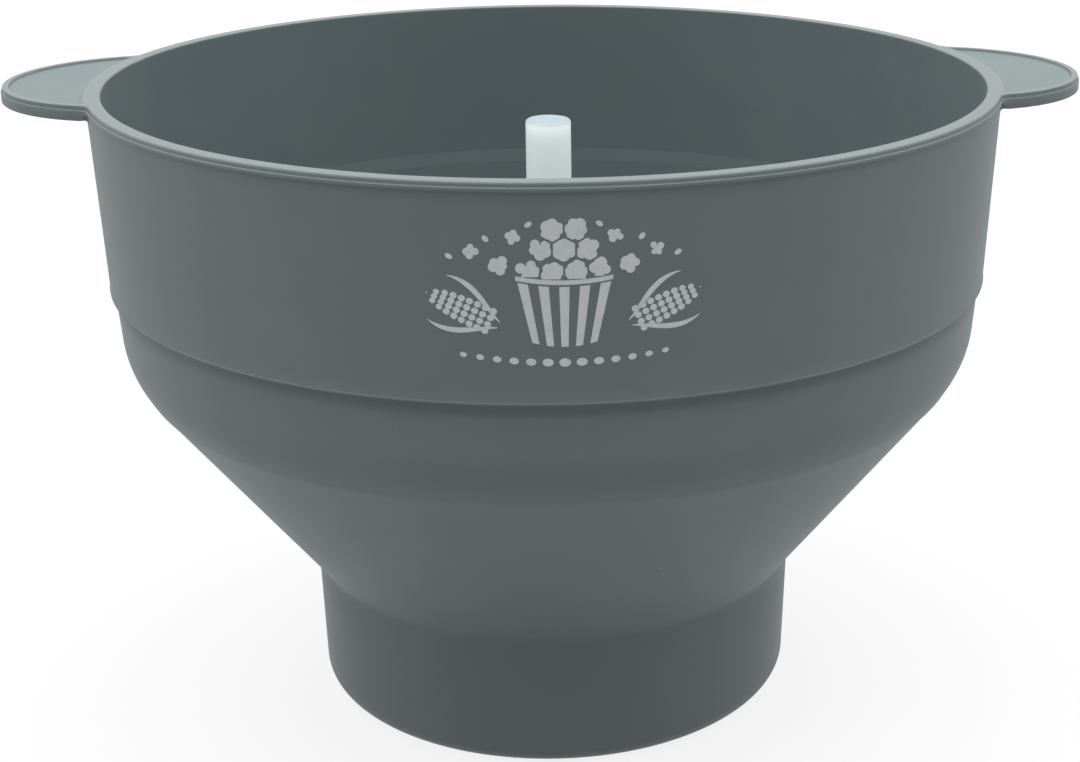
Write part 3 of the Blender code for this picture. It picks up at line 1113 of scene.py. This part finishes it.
    def inside(self) -> list[Point]:
        """Draw the inner face, from the base cup up the cone, over the crease and up the web."""
        corner = self.on_cone(self.cone_distance(self.base_top.z, self.cone_wall), self.cone_wall)
        crease = self.cone_distance(self.crease_height, 0.0)
        below = self.floor_and_collar()
        cone_end = self.on_cone(crease + self.crease_width, self.cone_wall)
        corner_round = self.inner_corner_round
        points = below + straight(below[-1], Point(corner.r, corner.z - corner_round), 6)
        points += rounded(points[-1], corner, cone_end, corner_round, 6)
        points += straight(points[-1], cone_end, 12)
        points.append(cone_end)
        for share, rise in self.crease_land:
            depth = between(self.cone_wall if share > 0.5 else self.upper.web_wall, self.crease_wall, rise)
            points.append(self.on_cone(crease + self.crease_width * share, depth))
        web_foot = self.on_cone(crease - self.crease_lead, self.upper.web_wall)
        points.append(web_foot)
        inner_radius = self.shoulder.r - self.upper.web_wall
        knee = Point(inner_radius, self.height_on_cone(inner_radius, self.upper.web_wall))
        neck = Point(self.upper.web_radius - self.upper.web_wall, self.upper.lip_foot)
        inner_round = self.shoulder_round - self.upper.web_wall
        shoulder_arc = rounded(web_foot, knee, neck, inner_round, 20)
        points += straight(web_foot, shoulder_arc[0], 10)
        points += shoulder_arc
        seam = Point(neck.r, neck.z - self.seam_drop)
        points += straight(shoulder_arc[-1], seam, 8)
        points += [seam, neck, Point(neck.r + self.tongue_inset, neck.z + self.tongue)]
        return points

    def build(self) -> bpy.types.Object:
        """Turn the profile into the lower moulding's closed mesh.

        Returns:
            The piece.
        """
        profile = self.outside() + self.underside() + self.inside()
        mesh = turned_mesh("lower_moulding", profile, self.steps)
        piece = add_piece("lower_moulding", mesh, self.finish.material("matte_silicone_lower"))
        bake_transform(piece)
        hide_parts(*self.replaced)
        log.info("lower_moulding: %d faces", len(mesh.polygons))
        return piece


@dataclass
class CentrePost:
    """The white post that stands in the collar on the bowl's axis."""

    finish: PostFinish
    steps: int = 96
    draft: float = 0.15 * MM
    top_round: float = 0.8 * MM
    dish_radius: float = 3.6 * MM
    dish_depth: float = 0.10 * MM
    foot_chamfer: float = 0.8 * MM

    def build(self) -> bpy.types.Object:
        """Turn the post and hang it on its own body.

        Returns:
            The piece.
        """
        low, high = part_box("centre_post")
        foot_radius = high.x
        radius = foot_radius - self.draft
        profile = []
        for i in range(8):
            share = i / 8
            sink = self.dish_depth * (1 - smooth_step(share))
            profile.append(Point(self.dish_radius * share, high.z - sink))
        profile += arc(Point(radius - self.top_round, high.z - self.top_round), self.top_round, 90, 0, 10)
        shoulder = Point(foot_radius, low.z + self.foot_chamfer)
        profile += straight(profile[-1], shoulder, 16)
        profile.append(shoulder)
        profile += [Point(foot_radius - 0.5 * self.foot_chamfer, low.z), Point(0.0, low.z)]
        mesh = turned_mesh("popcorn_post", profile, self.steps)
        piece = add_piece("popcorn_post", mesh, self.finish.material("satin_post_white", high.z))
        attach(piece, Body.POST.value)
        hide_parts("centre_post")
        log.info("popcorn_post: %d faces", len(mesh.polygons))
        return piece


@dataclass
class PrintedEmblem:
    """A pale one-colour print on the front: a striped tub of popped corn between two cobs.

    The motifs are drawn flat, with x along the wall and y up it, and then laid on the wall.
    """

    finish: InkFinish
    upper: UpperMoulding
    centre_angle: float = math.radians(0.43)
    centre_height: float = 129.2 * MM
    half_width: float = 27.0 * MM
    film: float = 0.05 * MM
    sink: float = 0.02 * MM
    tub_top: float = 8.8 * MM
    tub_foot: float = 6.2 * MM
    tub_floor: float = -10.0 * MM
    tub_height: float = 12.0 * MM
    tub_sag: float = 0.9 * MM
    tub_rim: float = 0.9 * MM
    stripes: int = 5
    gap: float = 0.4 * MM
    puff_radius: float = 2.05 * MM
    puff_spacing: float = 4.5 * MM
    puff_rise: float = 3.7 * MM
    heap_rows: tuple[int, ...] = (4, 3, 2)
    lobe_wander: float = 0.16
    lobe_offsets: tuple[float, float] = (0.52, 0.72)
    lobe_sizes: tuple[float, float] = (0.42, 0.60)
    cob_root: Spot = (12.5 * MM, -6.5 * MM)
    cob_lean: float = math.radians(24)
    cob_length: float = 13.0 * MM
    cob_start: float = 2.0 * MM
    cob_half_width: float = 2.9 * MM
    cob_rows: int = 9
    cob_fullness: float = 2.6
    wide_row: float = 2.0 * MM
    middle_row: float = 1.1 * MM
    kernel_radius: float = 0.64 * MM
    leaf_offset: float = 0.6 * MM
    leaf_bow: float = 4.6 * MM
    leaf_width: float = 1.15 * MM
    flying_puffs: tuple[tuple[Spot, float, int], ...] = (
        ((12.3 * MM, 5.4 * MM), 1.7 * MM, 5),
        ((17.4 * MM, 8.0 * MM), 1.3 * MM, 4),
        ((9.6 * MM, 11.0 * MM), 1.3 * MM, 4),
    )
    flying_kernels: tuple[tuple[Spot, float], ...] = (
        ((14.6 * MM, 10.6 * MM), 0.8),
        ((6.6 * MM, 13.4 * MM), -0.6),
        ((21.6 * MM, 7.0 * MM), 0.5),
    )
    flying_size: float = 0.5 * MM
    row_kernels: int = 13
    row_half_width: float = 19.5 * MM
    row_height: float = -12.6 * MM
    row_sag: float = 1.5 * MM
    row_sizes: tuple[float, float] = (0.85 * MM, 0.5 * MM)
    slices: int = 46
    chance: random.Random = field(default_factory=lambda: random.Random(11))

    def disc(self, spot: Vector, radius: float, stretch: float = 1.0, turn: float = 0.0) -> Outline:
        """Draw an ellipse, whose long side is stretched and turned."""
        count = 20
        tilt = Matrix.Rotation(turn, 2)
        points = []
        for i in range(count):
            angle = FULL_TURN * i / count
            reach = Vector((radius * stretch * math.cos(angle), radius * math.sin(angle)))
            points.append(tuple(spot + tilt @ reach))
        return points

    def puff(self, spot: Vector, radius: float, lobes: int, neighbours: Sequence[Vector] = ()) -> Outline:
        """Draw a popped kernel as unequal round lobes that swell from one middle.

        Args:
            spot: Middle of the puff.
            radius: Its mean radius.
            lobes: How many lobes it has.
            neighbours: Middles of the puffs that it presses against, with a gap between them.

        Returns:
            The outline.
        """
        count = 12 * lobes
        first = self.chance.uniform(0, FULL_TURN)
        swollen = []
        for k in range(lobes):
            angle = first + FULL_TURN * (k + self.chance.uniform(-self.lobe_wander, self.lobe_wander)) / lobes
            offset = radius * self.chance.uniform(*self.lobe_offsets)
            swollen.append((angle, offset, radius * self.chance.uniform(*self.lobe_sizes)))
        points = []
        for i in range(count):
            angle = FULL_TURN * i / count
            ray = Vector((math.cos(angle), math.sin(angle)))
            reach = max(self.lobe_reach(angle - lobe, offset, size) for lobe, offset, size in swollen)
            for other in neighbours:
                away = other - spot
                facing = ray.dot(away.normalized())
                if facing > 0:
                    reach = min(reach, (away.length - self.gap) / 2 / facing)
            points.append(tuple(spot + ray * reach))
        return points

    @staticmethod
    def lobe_reach(angle: float, offset: float, size: float) -> float:
        """Return how far a ray from the puff's middle runs before it leaves a lobe beside it."""
        along = offset * math.cos(angle)
        aside = offset * math.sin(angle)
        core = 0.5 * offset
        if abs(aside) >= size:
            return core
        return max(along + math.sqrt(size**2 - aside**2), core)

    def tub_line(self, share: float, half_width: float, height: float) -> Spot:
        """Return a point of a level line round the tub, which sags towards its middle."""
        return (share * half_width, height - self.tub_sag * (1 - share * share))

    def band(self, left: float, right: float, low: Spot, high: Spot) -> Outline:
        """Draw a patch of the tub's front.

        Args:
            left: Its left side as a share of the tub's half width.
            right: Its right side as a share of the tub's half width.
            low: Half width of the tub and height at the patch's foot.
            high: Half width of the tub and height at the patch's top.

        Returns:
            The outline.
        """
        count = 8
        shares = [between(left, right, i / count) for i in range(count + 1)]
        foot = [self.tub_line(share, *low) for share in shares]
        head = [self.tub_line(share, *high) for share in reversed(shares)]
        return foot + head

    def tub(self) -> list[Outline]:
        """Draw the striped tub: a rolled rim over upright stripes that narrow to its foot."""
        head = self.tub_floor + self.tub_height
        slots = 2 * self.stripes - 1
        shapes = []
        for i in range(self.stripes):
            left = between(-1, 1, 2 * i / slots)
            right = between(-1, 1, (2 * i + 1) / slots)
            shapes.append(self.band(left, right, (self.tub_foot, self.tub_floor), (self.tub_top, head)))
        rim_width = self.tub_top + self.gap
        rim_foot = head + self.gap
        shapes.append(self.band(-1, 1, (rim_width, rim_foot), (rim_width, rim_foot + self.tub_rim)))
        return shapes

    def heap(self) -> list[Outline]:
        """Draw the popped corn that is heaped on the tub."""
        rim_top = self.tub_floor + self.tub_height + self.gap + self.tub_rim
        spots = []
        for row, count in enumerate(self.heap_rows):
            for i in range(count):
                x = (i - (count - 1) / 2) * self.puff_spacing
                y = rim_top + 0.75 * self.puff_radius + row * self.puff_rise
                if row == 0:
                    y -= self.tub_sag * (1 - (x / self.tub_top) ** 2)
                spots.append(Vector((x, y)))
        shapes = []
        for k, spot in enumerate(spots):
            neighbours = [other for other in spots if other is not spot]
            if k < self.heap_rows[0]:
                rim = self.tub_line(spot.x / self.tub_top, self.tub_top, rim_top)[1]
                neighbours.append(Vector((spot.x, 2 * rim - spot.y)))
            shapes.append(self.puff(spot, self.puff_radius, 4 + k % 3, neighbours))
        return shapes

    def cob(self, side: int) -> list[Outline]:
        """Draw a cob of corn that leans outward, with two husk leaves.

        Args:
            side: 1 for the right-hand cob and -1 for the left-hand one.

        Returns:
            The outlines of its kernels and leaves.
        """
        root = Vector((side * self.cob_root[0], self.cob_root[1]))
        along = Vector((side * math.cos(self.cob_lean), math.sin(self.cob_lean)))
        across = Vector((-along.y, along.x))
        shapes = []
        for i in range(self.cob_rows):
            share = i / (self.cob_rows - 1)
            half_width = self.cob_half_width * math.sqrt(max(1 - (share * 1.02) ** self.cob_fullness, 0.0))
            lanes = 4 if half_width > self.wide_row else 3 if half_width > self.middle_row else 1
            for k in range(lanes):
                offset = between(-half_width, half_width, (k + 0.5) / lanes)
                spot = root + along * (self.cob_start + self.cob_length * share) + across * offset
                size = min(self.kernel_radius, 0.86 * half_width / lanes + 0.14 * MM)
                shapes.append(self.disc(spot, size, 1.08, math.atan2(along.y, along.x)))
        for bend in (-1, 1):
            shapes.append(self.leaf(root, along, across * bend))
        return shapes

    def leaf(self, root: Vector, along: Vector, across: Vector) -> Outline:
        """Draw a husk leaf that curls away from the cob.

        Args:
            root: Where the leaf starts.
            along: Direction of the cob.
            across: Direction to the leaf's side.

        Returns:
            The outline.
        """
        count = 12
        near = []
        far = []
        for i in range(count + 1):
            share = i / count
            bow = self.leaf_offset + self.leaf_bow * math.sin(1.9 * share) ** 1.2
            spine = root + along * (self.cob_length * share) + across * bow
            width = self.leaf_width * math.sin(HALF_TURN * min(share + 0.02, 1.0)) ** 0.8
            near.append(tuple(spine - across * width * 0.5))
            far.append(tuple(spine + across * width * 0.5))
        return near + far[::-1]

    def scattered(self) -> list[Outline]:
        """Draw the small puffs and kernels over the cobs and the row of kernels under the tub."""
        shapes = []
        for side in (-1, 1):
            for (x, y), radius, lobes in self.flying_puffs:
                shapes.append(self.puff(Vector((side * x, y)), radius, lobes))
            for (x, y), turn in self.flying_kernels:
                shapes.append(self.disc(Vector((side * x, y)), self.flying_size, 1.5, side * turn))
        for i in range(self.row_kernels):
            share = between(-1, 1, i / (self.row_kernels - 1))
            spot = Vector((share * self.row_half_width, self.row_height - self.row_sag * (1 - share * share)))
            shapes.append(self.disc(spot, between(*self.row_sizes, abs(share)), 1.35, share * 0.25))
        return shapes

    def on_wall(self, x: float, y: float, height: float) -> Vector:
        """Lay a point of the flat drawing on the wall.

        Args:
            x: Distance along the wall from the print's middle.
            y: Distance up the wall from the print's middle.
            height: Distance in front of the wall.

        Returns:
            The point in the row frame.
        """
        level = self.centre_height + y
        wall = self.upper.outer(level).r
        angle = self.centre_angle + x / self.upper.outer(self.centre_height).r
        radius = wall + height
        return Vector((radius * math.sin(angle), -radius * math.cos(angle), level))

    def build(self) -> bpy.types.Object:
        """Fill the outlines, slice them so that they can bend, and give them the film's thickness.

        Returns:
            The piece.
        """
        shapes = self.tub() + self.heap() + self.cob(1) + self.cob(-1) + self.scattered()
        work = bmesh.new()
        for shape in shapes:
            corners = [work.verts.new((x, y, 0.0)) for x, y in shape]
            work.faces.new(corners)
        for i in range(self.slices):
            cut = between(-self.half_width, self.half_width, i / self.slices)
            geometry = [*work.verts, *work.edges, *work.faces]
            bmesh.ops.bisect_plane(work, geom=geometry, dist=1e-7, plane_co=(cut, 0, 0), plane_no=(1, 0, 0))
        bmesh.ops.triangulate(work, faces=work.faces)
        bmesh.ops.recalc_face_normals(work, faces=work.faces)
        for face in work.faces:
            if face.normal.z < 0:
                face.normal_flip()
        bottom = list(work.faces)
        raised = bmesh.ops.extrude_face_region(work, geom=bottom)
        top = {item for item in raised["geom"] if isinstance(item, bmesh.types.BMVert)}
        for vertex in work.verts:
            lift = self.film if vertex in top else -self.sink
            vertex.co = self.on_wall(vertex.co.x, vertex.co.y, lift)
        bmesh.ops.recalc_face_normals(work, faces=work.faces)
        mesh = bpy.data.meshes.new("printed_emblem")
        work.to_mesh(mesh)
        work.free()
        piece = add_piece("printed_emblem", mesh, self.finish.material("pale_print_ink"))
        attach(piece, Body.UPPER.value)
        log.info("printed_emblem: %d faces", len(mesh.polygons))
        return piece


class Lamp(NamedTuple):
    """A soft square light: its name, its place, the length of its side and its power in watts."""

    name: str
    place: tuple[float, float, float]
    size: float
    power: float


@dataclass
class Studio:
    """A white floor, a white surround and soft light from above, with the photograph's camera."""

    floor_colour: Colour = (0.20, 0.20, 0.20)
    floor_glow: float = 0.20
    floor_lift: float = 0.63
    floor_fade: tuple[float, float] = (0.7, 2.2)
    floor_size: float = 12.0
    surround: float = 0.01
    lamp_aim: tuple[float, float, float] = (0.0, 0.0, 0.10)
    lamps: tuple[Lamp, ...] = (
        Lamp("overhead_softbox", (0.0, 0.3, 2.4), 4.0, 111.0),
        Lamp("front_softbox", (-0.25, -1.25, 1.05), 1.4, 1.6),
        Lamp("left_softbox", (-1.6, -0.2, 0.8), 1.2, 4.75),
        Lamp("right_softbox", (1.6, -0.2, 0.8), 1.2, 4.75),
    )
    camera_distance: float = 452.0 * MM
    camera_height: float = 236.9 * MM
    azimuth: float = 0.0174
    pitch: float = 0.3334
    yaw: float = 0.0421
    roll: float = -0.0007
    lens: float = 64.67
    shift: tuple[float, float] = (-0.0822, -0.0225)

    def add_floor(self) -> None:
        """Lay a large floor that reads as white and keeps the bowl's soft shadow."""
        mesh = bpy.data.meshes.new("studio_floor")
        half = self.floor_size / 2
        corners = [(-half, -half, 0.0), (half, -half, 0.0), (half, half, 0.0), (-half, half, 0.0)]
        mesh.from_pydata(corners, [], [(0, 1, 2, 3)])
        board = Board(bpy.data.materials.new("white_floor"))
        seen = board.add("ShaderNodeLightPath", output="Is Camera Ray")
        mirrored = board.add("ShaderNodeLightPath", output="Is Glossy Ray")
        diffuse = board.add("ShaderNodeBsdfDiffuse", inputs={"Color": (*self.floor_colour, 1.0)})
        distance = board.add("ShaderNodeVectorMath", {"operation": "LENGTH"}, {0: board.place()}, "Value")
        far = board.ramp(distance, *self.floor_fade, 0.0, 1 - self.floor_glow - self.floor_lift)
        strength = self.floor_glow + (seen + mirrored) * (self.floor_lift + far)
        glow = board.add("ShaderNodeEmission", inputs={"Strength": strength})
        shader = board.add("ShaderNodeAddShader", inputs={0: diffuse, 1: glow})
        floor = add_piece("studio_floor", mesh, board.finish(shader))

    def add_surround(self) -> None:
        """Fill the world with soft white light that mirrors and the camera see as plain white."""
        world = bpy.data.worlds.new("studio_surround")
        bpy.context.scene.world = world
        board = Board(world)
        white = board.add("ShaderNodeLightPath", output="Is Camera Ray")
        for kind in ("Is Transmission Ray", "Is Glossy Ray"):
            ray = board.add("ShaderNodeLightPath", output=kind)
            white = board.add("ShaderNodeMath", {"operation": "MAXIMUM"}, {0: white, 1: ray})
        strength = board.ramp(white, 0.0, 1.0, self.surround, 1.0)
        board.finish(board.add("ShaderNodeBackground", inputs={"Strength": strength}))

    def add_lamps(self) -> None:
        """Hang a very broad soft light over the bowl and weaker ones at its sides and in front."""
        aim = Vector(self.lamp_aim)
        for lamp in self.lamps:
            light = bpy.data.lights.new(lamp.name, "AREA")
            light.shape = "SQUARE"
            light.size = lamp.size
            light.energy = lamp.power
            hung = bpy.data.objects.new(lamp.name, light)
            hung.location = lamp.place
            hung.rotation_euler = (aim - Vector(lamp.place)).to_track_quat("-Z", "Y").to_euler()
            bpy.context.scene.collection.objects.link(hung)

    def add_camera(self) -> None:
        """Stand the camera at the photograph's viewpoint."""
        heading = self.yaw + self.azimuth
        forward = Vector(
            (
                math.sin(heading) * math.cos(self.pitch),
                math.cos(heading) * math.cos(self.pitch),
                -math.sin(self.pitch),
            )
        )
        place = Vector(
            (
                -self.camera_distance * math.sin(self.azimuth),
                -self.camera_distance * math.cos(self.azimuth),
                self.camera_height,
            )
        )
        level_right = forward.cross(Vector((0.0, 0.0, 1.0))).normalized()
        level_up = level_right.cross(forward)
        right = level_right * math.cos(self.roll) + level_up * math.sin(self.roll)
        up = level_up * math.cos(self.roll) - level_right * math.sin(self.roll)
        turn = Matrix((right, up, -forward)).transposed()
        data = bpy.data.cameras.new("photo_camera")
        data.lens = self.lens
        data.sensor_width = 36.0
        data.sensor_fit = "HORIZONTAL"
        data.shift_x, data.shift_y = self.shift
        data.clip_start = 0.01
        camera = bpy.data.objects.new("photo_camera", data)
        camera.matrix_world = Matrix.Translation(place) @ turn.to_4x4()
        bpy.context.scene.collection.objects.link(camera)
        bpy.context.scene.camera = camera

    def build(self) -> None:
        """Set up the floor, the surround, the lights and the camera."""
        self.add_floor()
        self.add_surround()
        self.add_lamps()
        self.add_camera()
        bpy.context.scene.view_settings.view_transform = "Standard"
        log.info("studio: floor, surround, lights and camera")


def main() -> None:
    """Build every piece in order."""
    logging.basicConfig(level=logging.INFO, format="%(name)s: %(message)s")
    silicone = SiliconeFinish()
    upper = UpperMoulding(finish=silicone)
    upper.build()
    LowerMoulding(finish=silicone, upper=upper).build()
    CentrePost(finish=PostFinish()).build()
    PrintedEmblem(finish=InkFinish(), upper=upper).build()
    Studio().build()


if __name__ == "__main__":
    main()
